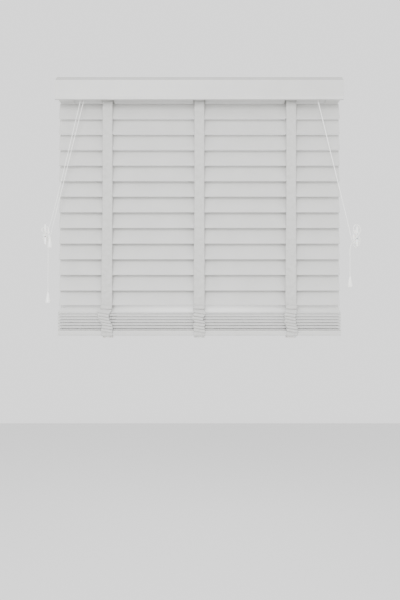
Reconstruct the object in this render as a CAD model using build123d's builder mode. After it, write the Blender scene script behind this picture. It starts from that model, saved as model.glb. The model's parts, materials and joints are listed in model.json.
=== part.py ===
from build123d import *
import math
import os

os.makedirs("parts", exist_ok=True)

# Venetian blind with 50 mm wooden slats on fabric ladder tapes, drawn half raised and closed.
# X runs along the slats, -Y faces the room, +Z is up. The origin lies in the mounting plane on top
# of the brackets, at the middle of their four screw holes. All sizes are in millimetres.

# ---- slats and ladder
slat_length = 790.0
slat_width = 50.0
slat_thickness = 3.0
slat_edge_radius = 1.2
ladder_pitch = 44.0
slat_headroom = 2.5             # head rail to the turning circle of the top slat
hanging_count = 13
piled_count = 11
closed_angle = 68.0             # tilt of the closed slats, room edge down
resting_angle = 25.0            # tilt of the slat that leans on the pile
last_slat_lift = 3.0            # the pile pushes the lowest hanging slat up this much
pile_room = 18.5                # turning circle of the lowest hanging slat, at its own rung, to the pile
pile_gap = 1.2                  # mean gap between two piled slats, which holds the ladder's rungs
pile_pair_shift = 0.8           # the piled slats lie in pairs: every second one is this much higher
route_hole_length = 20.0
route_hole_width = 6.0

# ---- ladder tapes
tape_spacing = 258.0
tape_width = 28.0
tape_thickness = 1.0
tape_gap = 0.4                  # slat edge to tape
fold_spread = 1.5               # the bunched tape is this much wider on each side
fold_depth = 6.5
fold_gap = 0.6                  # pile to the bunched tape
strap_gap = 0.3
strap_thickness = 1.0

# ---- bottom rail and its buttons
rail_height = 15.0
rail_edge_radius = 3.0
rail_hole_diameter = 5.0
button_diameter = 30.0
button_height = 6.0
button_edge_radius = 2.5
button_peg_height = 6.0
button_peg_gap = 0.2

# ---- head rail
head_inset = 3.0                # the head rail is this much shorter than the slats at each end
head_height = 51.0
head_wall = 1.0
head_lip = 4.0
head_bend_radius = 2.0
head_top_gap = 0.5
tape_slot_side = 3.0            # room beside the tape
tape_slot_room = 0.6            # room in front of the tape when the slats lie level
slot_margin = 1.5               # slot to the outer face of the head rail

# ---- brackets
bracket_wall = 1.5
bracket_length = 40.0
bracket_side_gap = 0.5
bracket_end_gap = 1.0
bracket_hole_diameter = 5.0
bracket_top_hole_spacing = 24.0
bracket_back_hole_spacing = 25.0
bracket_back_hole_drop = 15.0
gate_gap = 0.2

# ---- valance
valance_overhang = 5.0
valance_thickness = 12.0
valance_standoff = 4.5          # head rail to the valance's back face
valance_rise = 3.0
valance_cover = 6.0             # the valance hangs this much below the head rail
moulding_height = 9.6
moulding_inset = 1.0
moulding_setback = 3.0
moulding_taper = 22.0
bevel_height = 7.0
bevel_depth = 2.0
groove_height = 2.4
groove_depth = 2.0
groove_drops = [12.0, 36.0]

# ---- valance clips
clip_places = [-190.0, 0.0, 190.0]
clip_width = 24.0
clip_plate = 2.0
clip_foot_height = 4.0
clip_hook_thickness = 1.2
clip_hook_drop = 3.2
clip_gap = 0.2

# ---- tilt gear
rod_drop = 26.0
rod_side = 5.5
rod_bore_gap = 0.1
rod_overrun = 7.0               # rod beyond the tilter
rod_tail = 12.0                 # rod beyond the right-hand cradle
drum_diameter = 21.0
drum_side = 2.0                 # drum beyond the tape at each side
journal_diameter = 12.0
journal_gap = 0.1
journal_overrun = 1.0
cradle_wall = 2.0
cradle_side = 4.0               # cradle wall beyond the tape at each side
cradle_margin = 4.5
cradle_top_drop = 8.0
bridge_depth = 18.0
tilter_inset = 65.5             # head rail's left end to the worm axis
tilter_length = 33.0
gear_front_gap = 1.0            # housings to the front wall of the head rail
tilter_rear = 12.0
tilter_top_drop = 10.0
housing_wall = 1.2
wheel_tip_diameter = 18.0
wheel_teeth = 14
wheel_tooth_height = 2.0
wheel_tooth_width = 1.7
wheel_width = 8.0
worm_tip_diameter = 8.0
worm_root_diameter = 5.6
worm_ring = 1.0
worm_rings = 7
worm_pitch = 2.0
mesh_gap = 0.3
worm_shaft_diameter = 3.8
shaft_gap = 0.1
pulley_setback = 4.0            # housing front to the middle of the cord lane
pulley_groove_width = 3.0
pulley_flange = 1.0
pulley_flange_diameter = 13.0
tilt_cord_spacing = 9.0

# ---- cord lock
lock_inset = 61.5               # head rail's right end to where the lift cords turn down
lock_inlet_length = 18.5
lock_outlet_length = 11.5
lock_rear = 12.0
lock_top_drop = 28.0
lock_pulley_diameter = 8.6
lock_pulley_drop = 42.0
lock_roller_diameter = 6.0
lock_roller_drop = 40.0
lock_axle_diameter = 3.0
lock_roller_length = 11.0

# ---- cords
tilt_cord_diameter = 1.8
lift_cord_diameter = 1.4
pull_cord_diameter = 2.6
lift_lane_drop = 44.0
lift_lanes = [-6.0, -2.0, 2.0]
lift_lane_pitch = 1.6
lift_throat_drop = 52.5
lane_turn = 12.0
lane_corner = 5.0               # right cradle to the corner where the lanes turn to the lock
lane_corner_room = 4.5
cord_gap = 0.1

# ---- cleats on the wall face beside the window
wall_gap = 1.5                  # head rail to the plane of the wall face
cleat_left_reach = 30.0         # slat end to the cleat
cleat_right_reach = 40.0
cleat_left_drop = 433.0
cleat_right_drop = 439.0
cleat_base_width = 18.0
cleat_base_height = 40.0
cleat_base_thickness = 3.0
cleat_post_width = 9.0
cleat_post_height = 20.0
cleat_post_front = 13.0
cleat_bar_width = 7.0
cleat_bar_front = 18.0
cleat_horn_reach = 28.0
cleat_tip_lift = 2.5
cleat_tip_thickness = 3.4
cleat_hole_diameter = 4.0
cleat_hole_spacing = 12.0

# ---- tassels
tassel_height = 29.0
tassel_top_diameter = 6.0
tassel_base_diameter = 14.0
tassel_neck_height = 7.0
tassel_recess_diameter = 9.0
tassel_recess_depth = 6.0

# ---- places worked out from the sizes above
half_width = slat_width / 2
half_thickness = slat_thickness / 2
tape_places = [-tape_spacing, 0.0, tape_spacing]
fold_width = tape_width + 2 * fold_spread
tape_plane_level = half_width + tape_gap + tape_thickness / 2
tape_slot_length = tape_width + 2 * tape_slot_side
tape_slot_depth = 2 * tape_plane_level + tape_thickness + 2 * tape_slot_room
head_length = slat_length - 2 * head_inset
head_depth = tape_slot_depth + 2 * slot_margin
head_top = -bracket_wall - head_top_gap
head_bottom = head_top - head_height
head_floor = head_bottom + head_wall
first_slat_drop = -head_bottom + slat_headroom + half_width
pile_drop = half_width + pile_room
last_regular = -first_slat_drop - ladder_pitch * (hanging_count - 1)
last_hanging = last_regular + last_slat_lift
pile_top = last_regular - pile_drop
pile_pitch = slat_thickness + pile_gap
bottom_rail_top = pile_top - piled_count * pile_pitch
bottom_rail_bottom = bottom_rail_top - rail_height
rod_z = -rod_drop
valance_length = slat_length + 2 * valance_overhang
valance_back = head_depth / 2 + valance_standoff
valance_fall = -head_bottom + valance_cover
wall_face = head_depth / 2 + wall_gap
cleat_left = (-slat_length / 2 - cleat_left_reach, -cleat_left_drop)
cleat_right = (slat_length / 2 + cleat_right_reach, -cleat_right_drop)
drum_length = tape_width + 2 * drum_side
cradle_inner = tape_width + 2 * cradle_side
cradle_depth = head_depth - 2 * cradle_margin
journal_length = cradle_inner + 2 * cradle_wall + 2 * journal_overrun
tilter_place = -head_length / 2 + tilter_inset
gear_front = head_depth / 2 - head_wall - gear_front_gap
pulley_plane = gear_front - pulley_setback
lock_place = head_length / 2 - lock_inset
lock_left = lock_place - lock_inlet_length
lock_right = lock_place + lock_outlet_length
rod_end_left = tilter_place - tilter_length / 2 - rod_overrun
rod_end_right = tape_spacing + cradle_inner / 2 + cradle_wall + rod_tail


def slat_reach(angle):
    """Furthest point of a slat from its axis plane at this tilt."""
    core = (half_width - slat_edge_radius) * math.cos(math.radians(angle))
    lean = (half_thickness - slat_edge_radius) * math.sin(math.radians(angle))
    return core + lean + slat_edge_radius


tape_plane = slat_reach(closed_angle) + tape_gap + tape_thickness / 2
ladder_arm = (tape_plane_level - tape_plane) / (1 - math.cos(math.radians(closed_angle)))
tape_travel = 2 * ladder_arm * math.sin(math.radians(closed_angle))
resting_lift = half_width * math.sin(math.radians(resting_angle))
resting_lift += half_thickness * math.cos(math.radians(resting_angle))
resting_z = pile_top + pile_gap / 2 + resting_lift
bracket_centre = head_length / 2 + bracket_end_gap + bracket_wall - bracket_length / 2
bracket_inner_depth = head_depth + 2 * bracket_side_gap
bracket_bottom = head_bottom - bracket_wall
worm_z = rod_z - wheel_tip_diameter / 2 - worm_tip_diameter / 2 - mesh_gap
lock_pulley_x = lock_place - lock_pulley_diameter / 2 - lift_cord_diameter / 2
lock_roller_x = lock_place + lock_roller_diameter / 2 + lift_cord_diameter / 2 + cord_gap
lock_middle = -(gear_front + lock_rear) / 2


def keep(piece, name):
    """Label a finished piece and write its STEP file."""
    piece.part.label = name
    export_step(piece.part, f"parts/{name}.step")


def slat_plane(z, angle):
    lean = math.radians(angle)
    return Plane(origin=(0, 0, z), x_dir=(1, 0, 0), z_dir=(0, -math.sin(lean), math.cos(lean)))


def make_slat(name, z, angle):
    with BuildPart() as slat:
        with BuildSketch(slat_plane(z, angle)):
            Rectangle(slat_length, slat_width)
        extrude(amount=half_thickness, both=True)
        fillet(slat.edges().filter_by(Axis.X), slat_edge_radius)
        with BuildSketch(slat_plane(z, angle)):
            with Locations([(x, 0) for x in tape_places]):
                SlotOverall(route_hole_length, route_hole_width, rotation=90)
        extrude(amount=slat_thickness, both=True, mode=Mode.SUBTRACT)
    keep(slat, name)


def make_slats():
    for number in range(hanging_count):
        z = -first_slat_drop - ladder_pitch * number
        if number == hanging_count - 1:
            z = last_hanging
        make_slat(f"slat_{number + 1:02d}", z, closed_angle)
    make_slat(f"slat_{hanging_count + 1:02d}", resting_z, resting_angle)
    for number in range(piled_count):
        z = pile_top - half_thickness - pile_pitch * number + pile_pair_shift * (number % 2)
        make_slat(f"slat_{hanging_count + 2 + number:02d}", z, 0)


def make_bottom_rail():
    with BuildPart() as rail:
        with BuildSketch(Plane.XY.offset(bottom_rail_bottom)):
            Rectangle(slat_length, slat_width)
        extrude(amount=rail_height)
        fillet(rail.edges().filter_by(Axis.X), rail_edge_radius)
        with BuildSketch(Plane.XY.offset(bottom_rail_bottom)):
            with Locations([(x, 0) for x in tape_places]):
                Circle(rail_hole_diameter / 2)
        extrude(amount=rail_height, mode=Mode.SUBTRACT)
    keep(rail, "bottom_rail")


def make_buttons():
    top = bottom_rail_bottom - 2 * strap_gap - strap_thickness
    peg_top = bottom_rail_bottom + button_peg_height
    with BuildPart() as buttons:
        with BuildSketch(Plane.XY.offset(top - button_height)):
            with Locations([(x, 0) for x in tape_places]):
                Circle(button_diameter / 2)
        extrude(amount=button_height)
        low_rims = buttons.edges().filter_by(GeomType.CIRCLE).group_by(Axis.Z)[0]
        fillet(low_rims, button_edge_radius)
        with BuildSketch(Plane.XY.offset(top)):
            with Locations([(x, 0) for x in tape_places]):
                Circle(rail_hole_diameter / 2 - button_peg_gap)
        extrude(amount=peg_top - top)
    keep(buttons, "tape_buttons")


def make_tapes():
    front_top = head_floor + head_wall
    front_low = last_hanging - half_width * math.sin(math.radians(closed_angle)) - half_thickness
    rear_top = front_top + tape_travel
    rear_low = last_hanging + half_width * math.sin(math.radians(closed_angle)) - half_thickness
    sides = [("front_tapes", -tape_plane, front_low, front_top)]
    sides.append(("rear_tapes", tape_plane, rear_low, rear_top))
    for name, y, low, top in sides:
        with BuildPart() as tapes:
            with BuildSketch(Plane.XY.offset(low)):
                with Locations([(x, y) for x in tape_places]):
                    Rectangle(tape_width, tape_thickness)
            extrude(amount=top - low)
        keep(tapes, name)
    return front_low, rear_low


def make_folds(front_low, rear_low):
    """The slack tape in front of and behind the pile, and the strap under the bottom rail."""
    inner = half_width + fold_gap
    outer = inner + fold_depth
    strap_top = bottom_rail_bottom - strap_gap
    strap_low = strap_top - strap_thickness
    half = tape_thickness / 2
    outline = [
        (-tape_plane - half, front_low - strap_gap),
        (-tape_plane + half, front_low - strap_gap),
        (-inner, pile_top),
        (-inner, strap_top),
        (inner, strap_top),
        (inner, pile_top + pile_drop / 2),
        (tape_plane - half, rear_low - strap_gap),
        (tape_plane + half, rear_low - strap_gap),
        (inner + tape_thickness, pile_top + pile_drop / 2),
        (outer, pile_top - pile_pitch),
        (outer, bottom_rail_top),
        (inner + tape_thickness, strap_low),
        (-inner - tape_thickness, strap_low),
        (-outer, bottom_rail_top),
        (-outer, pile_top - pile_pitch),
    ]
    for name, x in zip(["left", "middle", "right"], tape_places):
        with BuildPart() as folds:
            with BuildSketch(Plane.YZ.offset(x - fold_width / 2)):
                with BuildLine():
                    Polyline(*outline, close=True)
                make_face()
            extrude(amount=fold_width)
            with BuildSketch(Plane.XY.offset(strap_low - strap_gap)):
                with Locations((x, 0)):
                    Circle(rail_hole_diameter / 2)
            extrude(amount=strap_thickness + 2 * strap_gap, mode=Mode.SUBTRACT)
        keep(folds, f"tape_folds_{name}")


def make_head_rail():
    middle = (head_top + head_bottom) / 2
    tilt_holes = [tilter_place - tilt_cord_spacing / 2, tilter_place + tilt_cord_spacing / 2]
    cord_holes = [(x, -pulley_plane) for x in tilt_holes + [lock_place]]
    with BuildPart() as head:
        with BuildSketch(Plane.YZ.offset(-head_length / 2)):
            with Locations((0, middle)):
                RectangleRounded(head_depth, head_height, head_bend_radius)
                RectangleRounded(
                    head_depth - 2 * head_wall,
                    head_height - 2 * head_wall,
                    head_bend_radius - head_wall,
                    mode=Mode.SUBTRACT,
                )
            with Locations((0, head_top)):
                Rectangle(head_depth - 2 * head_wall - 2 * head_lip, 4 * head_wall, mode=Mode.SUBTRACT)
        extrude(amount=head_length)
        with BuildSketch(Plane.XY.offset(head_bottom)):
            with Locations([(x, 0) for x in tape_places]):
                Rectangle(tape_slot_length, tape_slot_depth)
            with Locations(cord_holes):
                Circle(1.3 * pull_cord_diameter)
        extrude(amount=2 * head_wall, mode=Mode.SUBTRACT)
    keep(head, "head_rail")


def make_brackets():
    """Box brackets: top, back, outer side and ledge plates, with a separate front gate."""
    back = bracket_inner_depth / 2
    length = bracket_length
    for name, side in [("left", -1), ("right", 1)]:
        centre = side * bracket_centre
        inner_x = side * (bracket_centre - bracket_wall / 2)
        with BuildPart() as bracket:
            with BuildSketch(Plane.XY.offset(bracket_bottom)):
                with Locations((centre, bracket_wall / 2)):
                    Rectangle(length, bracket_inner_depth + bracket_wall)
            extrude(amount=-bracket_bottom)
            with BuildSketch(Plane.XY.offset(head_bottom)):
                with Locations((inner_x - side * bracket_wall / 2, -bracket_wall / 2)):
                    Rectangle(length, bracket_inner_depth + bracket_wall)
            extrude(amount=head_height + head_top_gap, mode=Mode.SUBTRACT)
            with BuildSketch(Plane.XY.offset(-bracket_wall)):
                with Locations((centre, 0)):
                    with GridLocations(0, bracket_top_hole_spacing, 1, 2):
                        Circle(bracket_hole_diameter / 2)
            extrude(amount=bracket_wall, mode=Mode.SUBTRACT)
            with BuildSketch(Plane.XZ.offset(-back - bracket_wall)):
                for row in (0, 1):
                    drop = bracket_back_hole_drop + row * bracket_back_hole_spacing
                    with Locations((centre, -drop)):
                        Circle(bracket_hole_diameter / 2)
            extrude(amount=bracket_wall, mode=Mode.SUBTRACT)
        keep(bracket, f"bracket_{name}")
        with BuildPart() as gate:
            with BuildSketch(Plane.XZ.offset(back + gate_gap)):
                with Locations((centre, bracket_bottom / 2)):
                    Rectangle(length, -bracket_bottom)
            extrude(amount=bracket_wall)
        keep(gate, f"bracket_gate_{name}")


def make_valance():
    front = valance_back + valance_thickness
    shoulder = valance_rise - moulding_height
    strip_depth = valance_thickness - moulding_setback
    with BuildPart() as valance:
        with BuildSketch(Plane.YZ.offset(-valance_length / 2)):
            with BuildLine():
                Polyline(
                    (-valance_back, -valance_fall),
                    (-front + bevel_depth, -valance_fall),
                    (-front, -valance_fall + bevel_height),
                    (-front, shoulder),
                    (-valance_back, shoulder),
                    close=True,
                )
            make_face()
            for drop in groove_drops:
                with Locations((-valance_back, -drop)):
                    Rectangle(2 * groove_depth, groove_height, mode=Mode.SUBTRACT)
        extrude(amount=valance_length)
        with BuildSketch(Plane.XY.offset(shoulder)):
            with Locations((0, -valance_back)):
                Rectangle(valance_length - 2 * moulding_inset, 2 * strip_depth)
        extrude(amount=moulding_height, taper=moulding_taper)
        split(bisect_by=Plane.XZ.offset(valance_back), keep=Keep.TOP)
    keep(valance, "valance")


def make_clips():
    """Each clip hooks over the front lip of the head rail and holds the valance by its grooves."""
    rail_front = head_depth / 2
    plate_rear = valance_back - clip_plate
    hook_low = head_top + clip_gap
    hook_top = hook_low + clip_hook_thickness
    hook_rear = rail_front - head_wall - head_lip - clip_gap
    foot = rail_front + clip_gap
    foot_z = head_bottom + 2 * clip_foot_height
    rib = groove_height - 2 * clip_gap
    outline = [
        (-valance_back, foot_z),
        (-foot, foot_z),
        (-foot, foot_z + clip_foot_height),
        (-plate_rear, foot_z + clip_foot_height),
        (-plate_rear, hook_low),
        (-hook_rear, hook_low),
        (-hook_rear, hook_low - clip_hook_drop),
        (-hook_rear + clip_hook_thickness, hook_low - clip_hook_drop),
        (-hook_rear + clip_hook_thickness, hook_top),
        (-valance_back, hook_top),
    ]
    with BuildPart() as clips:
        for x in clip_places:
            with BuildSketch(Plane.YZ.offset(x - clip_width / 2)):
                with BuildLine():
                    Polyline(*outline, close=True)
                make_face()
                for drop in groove_drops:
                    with Locations((-valance_back, -drop)):
                        Rectangle(2 * (groove_depth - clip_gap), rib)
            extrude(amount=clip_width)
    keep(clips, "valance_clips")


def make_rod():
    with BuildPart() as rod:
        with BuildSketch(Plane.YZ.offset(rod_end_left)):
            with Locations((0, rod_z)):
                Rectangle(rod_side, rod_side)
        extrude(amount=rod_end_right - rod_end_left)
    keep(rod, "tilt_rod")


def make_drums():
    bore = rod_side + 2 * rod_bore_gap
    with BuildPart() as drums:
        for x in tape_places:
            with BuildSketch(Plane.YZ.offset(x - journal_length / 2)):
                with Locations((0, rod_z)):
                    Circle(journal_diameter / 2)
            extrude(amount=journal_length)
            with BuildSketch(Plane.YZ.offset(x - drum_length / 2)):
                with Locations((0, rod_z)):
                    Circle(drum_diameter / 2)
            extrude(amount=drum_length)
            with BuildSketch(Plane.YZ.offset(x - journal_length / 2)):
                with Locations((0, rod_z)):
                    Rectangle(bore, bore)
            extrude(amount=journal_length, mode=Mode.SUBTRACT)
    keep(drums, "tape_drums")


def make_cradles():
    outer = cradle_inner + 2 * cradle_wall
    height = -cradle_top_drop - head_floor
    for name, x in zip(["left", "middle", "right"], tape_places):
        with BuildPart() as cradle:
            for start in (x - outer / 2, x + cradle_inner / 2):
                with BuildSketch(Plane.YZ.offset(start)):
                    with Locations((0, head_floor + height / 2)):
                        Rectangle(cradle_depth, height)
                extrude(amount=cradle_wall)
            with BuildSketch(Plane.XY.offset(-cradle_top_drop - cradle_wall)):
                with Locations((x, 0)):
                    Rectangle(outer, bridge_depth)
            extrude(amount=cradle_wall)
            with BuildSketch(Plane.YZ.offset(x - outer / 2)):
                with Locations((0, rod_z)):
                    Circle(journal_diameter / 2 + journal_gap)
                with Locations([(lane, -lift_lane_drop) for lane in lift_lanes]):
                    Circle(lift_cord_diameter)
            extrude(amount=outer, mode=Mode.SUBTRACT)
        keep(cradle, f"cradle_{name}")


def make_tilter():
    """Housing, worm shaft with its cord pulley, and the worm wheel on the rod."""
    left = tilter_place - tilter_length / 2
    depth = gear_front + tilter_rear
    middle_y = (tilter_rear - gear_front) / 2
    height = -tilter_top_drop - head_floor
    shaft_hole = worm_shaft_diameter / 2 + shaft_gap
    with BuildPart() as housing:
        with BuildSketch(Plane.XY.offset(head_floor)):
            with Locations((tilter_place, middle_y)):
                Rectangle(tilter_length, depth)
        extrude(amount=height)
        with BuildSketch(Plane.XY.offset(head_floor + housing_wall)):
            with Locations((tilter_place, middle_y)):
                Rectangle(tilter_length - 2 * housing_wall, depth - 2 * housing_wall)
        extrude(amount=height, mode=Mode.SUBTRACT)
        with BuildSketch(Plane.YZ.offset(left)):
            with Locations((0, rod_z)):
                Circle(rod_side)
        extrude(amount=tilter_length, mode=Mode.SUBTRACT)
        with BuildSketch(Plane.XZ.offset(-tilter_rear)):
            with Locations((tilter_place, worm_z)):
                Circle(shaft_hole)
        extrude(amount=depth, mode=Mode.SUBTRACT)
        with BuildSketch(Plane.XY.offset(head_floor)):
            with Locations((tilter_place, -pulley_plane)):
                with GridLocations(tilt_cord_spacing, 0, 2, 1):
                    Circle(tilt_cord_diameter)
        extrude(amount=housing_wall, mode=Mode.SUBTRACT)
    keep(housing, "tilter_housing")

    groove = tilt_cord_spacing / 2 - tilt_cord_diameter / 2 - cord_gap
    rings_start = -(worm_rings - 1) * worm_pitch / 2
    pulley_rear = -pulley_plane + pulley_groove_width / 2
    with BuildPart() as worm:
        with BuildSketch(Plane.XZ.offset(-tilter_rear)):
            with Locations((tilter_place, worm_z)):
                Circle(worm_shaft_diameter / 2)
        extrude(amount=depth)
        with BuildSketch(Plane.XZ.offset(rings_start - worm_pitch)):
            with Locations((tilter_place, worm_z)):
                Circle(worm_root_diameter / 2)
        extrude(amount=-2 * rings_start + 2 * worm_pitch)
        for ring in range(worm_rings):
            with BuildSketch(Plane.XZ.offset(rings_start + ring * worm_pitch - worm_ring / 2)):
                with Locations((tilter_place, worm_z)):
                    Circle(worm_tip_diameter / 2)
            extrude(amount=worm_ring)
        with BuildSketch(Plane.XZ.offset(-pulley_rear)):
            with Locations((tilter_place, worm_z)):
                Circle(groove)
        extrude(amount=pulley_groove_width)
        for start in (-pulley_rear - pulley_flange, -pulley_rear + pulley_groove_width):
            with BuildSketch(Plane.XZ.offset(start)):
                with Locations((tilter_place, worm_z)):
                    Circle(pulley_flange_diameter / 2)
            extrude(amount=pulley_flange)
    keep(worm, "tilter_worm")

    root = wheel_tip_diameter / 2 - wheel_tooth_height
    bore = rod_side + 2 * rod_bore_gap
    with BuildPart() as wheel:
        with BuildSketch(Plane.YZ.offset(tilter_place - wheel_width / 2)):
            with Locations((0, rod_z)):
                Circle(root)
                with PolarLocations(root, wheel_teeth):
                    Rectangle(2 * wheel_tooth_height - 0.2, wheel_tooth_width)
                Rectangle(bore, bore, mode=Mode.SUBTRACT)
        extrude(amount=wheel_width)
    keep(wheel, "tilter_wheel")


def make_lock():
    """Cord lock: open-topped housing, grooveless pulley and knurled roller on their own axles."""
    length = lock_right - lock_left
    depth = gear_front - lock_rear
    centre_x = (lock_left + lock_right) / 2
    height = -lock_top_drop - head_floor
    axle_hole = lock_axle_diameter / 2 + shaft_gap
    with BuildPart() as housing:
        with BuildSketch(Plane.XY.offset(head_floor)):
            with Locations((centre_x, lock_middle)):
                Rectangle(length, depth)
        extrude(amount=height)
        with BuildSketch(Plane.XY.offset(head_floor + housing_wall)):
            with Locations((centre_x, lock_middle)):
                Rectangle(length - 2 * housing_wall, depth - 2 * housing_wall)
        extrude(amount=height, mode=Mode.SUBTRACT)
        with BuildSketch(Plane.XZ.offset(lock_rear)):
            with Locations((lock_pulley_x, -lock_pulley_drop), (lock_roller_x, -lock_roller_drop)):
                Circle(axle_hole)
        extrude(amount=depth, mode=Mode.SUBTRACT)
        inlet_drop = lock_pulley_drop - lock_pulley_diameter / 2
        with BuildSketch(Plane.YZ.offset(lock_left)):
            with Locations((-pulley_plane, -inlet_drop)):
                Rectangle(4 * lift_lane_pitch, 4 * lift_cord_diameter)
        extrude(amount=housing_wall, mode=Mode.SUBTRACT)
        with BuildSketch(Plane.XY.offset(head_floor)):
            with Locations((lock_place, -pulley_plane)):
                Circle(2 * lift_lane_pitch)
        extrude(amount=housing_wall, mode=Mode.SUBTRACT)
    keep(housing, "lock_housing")

    rollers = [("lock_pulley", lock_pulley_x, lock_pulley_drop, lock_pulley_diameter)]
    rollers.append(("lock_roller", lock_roller_x, lock_roller_drop, lock_roller_diameter))
    for name, x, drop, diameter in rollers:
        with BuildPart() as roller:
            with BuildSketch(Plane.XZ.offset(lock_rear)):
                with Locations((x, -drop)):
                    Circle(lock_axle_diameter / 2)
            extrude(amount=depth)
            with BuildSketch(Plane.XZ.offset(-lock_middle - lock_roller_length / 2)):
                with Locations((x, -drop)):
                    Circle(diameter / 2)
            extrude(amount=lock_roller_length)
        keep(roller, name)


def cord_radii(points):
    """Arc radius at each corner: 0.45 of the shorter run over the tangent of half the turn."""
    radii = []
    for before, corner, after in zip(points, points[1:], points[2:]):
        run_in = Vector(*corner) - Vector(*before)
        run_out = Vector(*after) - Vector(*corner)
        half_turn = math.radians(run_in.get_angle(run_out)) / 2
        radii.append(0.45 * min(run_in.length, run_out.length) / math.tan(half_turn))
    return radii


def cord_tube(points, diameter, radii):
    with BuildPart() as cord:
        with BuildLine() as route:
            FilletPolyline(*points, radius=radii)
        path = route.wire()
        with BuildSketch(Plane(origin=path @ 0, z_dir=path % 0)):
            Circle(diameter / 2)
        sweep(path=path)
    section = math.pi * diameter ** 2 / 4
    return cord, path.length, cord.part.volume / (section * path.length)


def make_lift_cords():
    """Three cords: up from the bottom rail, along the head rail, over the lock pulley and down."""
    low = bottom_rail_bottom + button_peg_height
    run_top = lock_pulley_diameter / 2 + lift_cord_diameter / 2 - lock_pulley_drop
    lane_end = tape_places[-1] + cradle_inner / 2 + cradle_wall + lane_corner
    cords = []
    for number, (x, lane) in enumerate(zip(tape_places, lift_lanes)):
        lock_lane = -pulley_plane + (number - 1) * lift_lane_pitch
        points = [
            (x, 0, low),
            (x, 0, -lift_lane_drop),
            (x + lane_turn, lane, -lift_lane_drop),
            (lane_end, lane, -lift_lane_drop),
            (lock_left - 2 * cradle_wall, lock_lane, run_top),
            (lock_place, lock_lane, run_top),
            (lock_place, lock_lane, -lift_throat_drop),
        ]
        radii = cord_radii(points)
        run_out = Vector(*points[4]) - Vector(*points[3])
        radii[2] = lane_corner_room / math.tan(math.radians(run_out.get_angle(Vector(1, 0, 0))) / 2)
        radii[4] = lock_place - lock_pulley_x
        cord, length, ratio = cord_tube(points, lift_cord_diameter, radii)
        print("lift cord", number + 1, "length", round(length, 1), "volume ratio", round(ratio, 4))
        cords.append(cord.part)
    with BuildPart() as group:
        for cord in cords:
            add(cord)
    keep(group, "lift_cords")


def cleat_point(cleat, side, reach, stand, rise):
    """A point near a cleat: reach towards the blind, stand off the wall, rise above its centre."""
    return (cleat[0] + side * reach, -wall_face - stand, cleat[1] + rise)


# Cord routes. The tight stretch from the head rail to the cleat is one straight run.
tilt_a_start = [
    (tilter_place - tilt_cord_spacing / 2, -pulley_plane, worm_z),
    (tilter_place - tilt_cord_spacing / 2, -pulley_plane, head_bottom - 1),
    (tilter_place - tilt_cord_spacing / 2 - 1.5, 1.3 - head_depth / 2, head_bottom - 10),
]
tilt_a_wrap = [
    (12, 11.5, 16),
    (5.5, 10.6, 21.5),
    (-3, 10.6, 22),
    (-9.5, 11.5, 17.5),
    (-11.5, 16.5, 11.5),
    (-8, 23.5, 8),
    (-1.5, 27.2, 5.6),
    (5.5, 27, 4),
    (11, 23.5, 1.5),
    (13.4, 19.5, -2.5),
    (13.4, 19.5, -8),
]
tilt_b_start = [
    (tilter_place + tilt_cord_spacing / 2, -pulley_plane, worm_z),
    (tilter_place + tilt_cord_spacing / 2, -pulley_plane, head_bottom - 1),
    (tilter_place + tilt_cord_spacing / 2 - 1.5, 1.3 - head_depth / 2, head_bottom - 10),
]
tilt_b_wrap = [
    (14.5, 8, 6),
    (12, 6.5, -4),
    (7, 6, -12.5),
    (-1, 6, -16.5),
    (-8, 7.5, -12.5),
    (-10, 13, -5.5),
    (-6, 19.4, 0.5),
    (2, 21, 5.5),
    (8, 17.5, 10.5),
    (8.5, 10, 17),
    (3, 6.8, 23),
    (-4.5, 7.2, 22),
    (-9, 11.8, 13.2),
    (-7.6, 19.5, 8),
    (-1, 24.2, 3.4),
    (6, 22.4, -2.5),
    (9.5, 16, -9),
    (9.6, 12.5, -19),
    (6.6, 12, -33),
    (6.6, 12, -160),
]
pull_start = [
    (lock_place, -pulley_plane, -lift_throat_drop),
    (lock_place, -pulley_plane, head_bottom - 4),
    (lock_place + 1.6, 0.9 - head_depth / 2, head_bottom - 13),
]
pull_wrap = [
    (16.5, 8, 8),
    (14, 6.5, -5),
    (10, 6, -18),
    (4, 6, -29),
    (-3.5, 6.5, -31),
    (-7.5, 9, -22),
    (-8.8, 14.5, -12),
    (-6.5, 19.6, -3.5),
    (0.5, 21.1, 3.5),
    (7.5, 19.5, 10),
    (10.5, 13.5, 18.5),
    (8.5, 9, 28),
    (1.5, 7.6, 34.5),
    (-6.5, 9, 31.5),
    (-10, 14, 22.5),
    (-8.6, 20.4, 13),
    (-3, 25.3, 5),
    (4.5, 25.6, -3),
    (11, 20.5, -11),
    (15, 14.5, -20),
    (18.6, 12.4, -31),
    (18.8, 12.2, -44),
    (18.8, 12.2, -110),
]


def make_free_cord(name, start, cleat, side, wrap, diameter):
    points = start + [cleat_point(cleat, side, *place) for place in wrap]
    radii = cord_radii(points)
    cord, length, ratio = cord_tube(points, diameter, radii)
    print(name, "length", round(length, 1), "volume ratio", round(ratio, 4))
    print(name, "radii", [round(radius, 1) for radius in radii])
    keep(cord, name)
    return points[-1]


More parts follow.
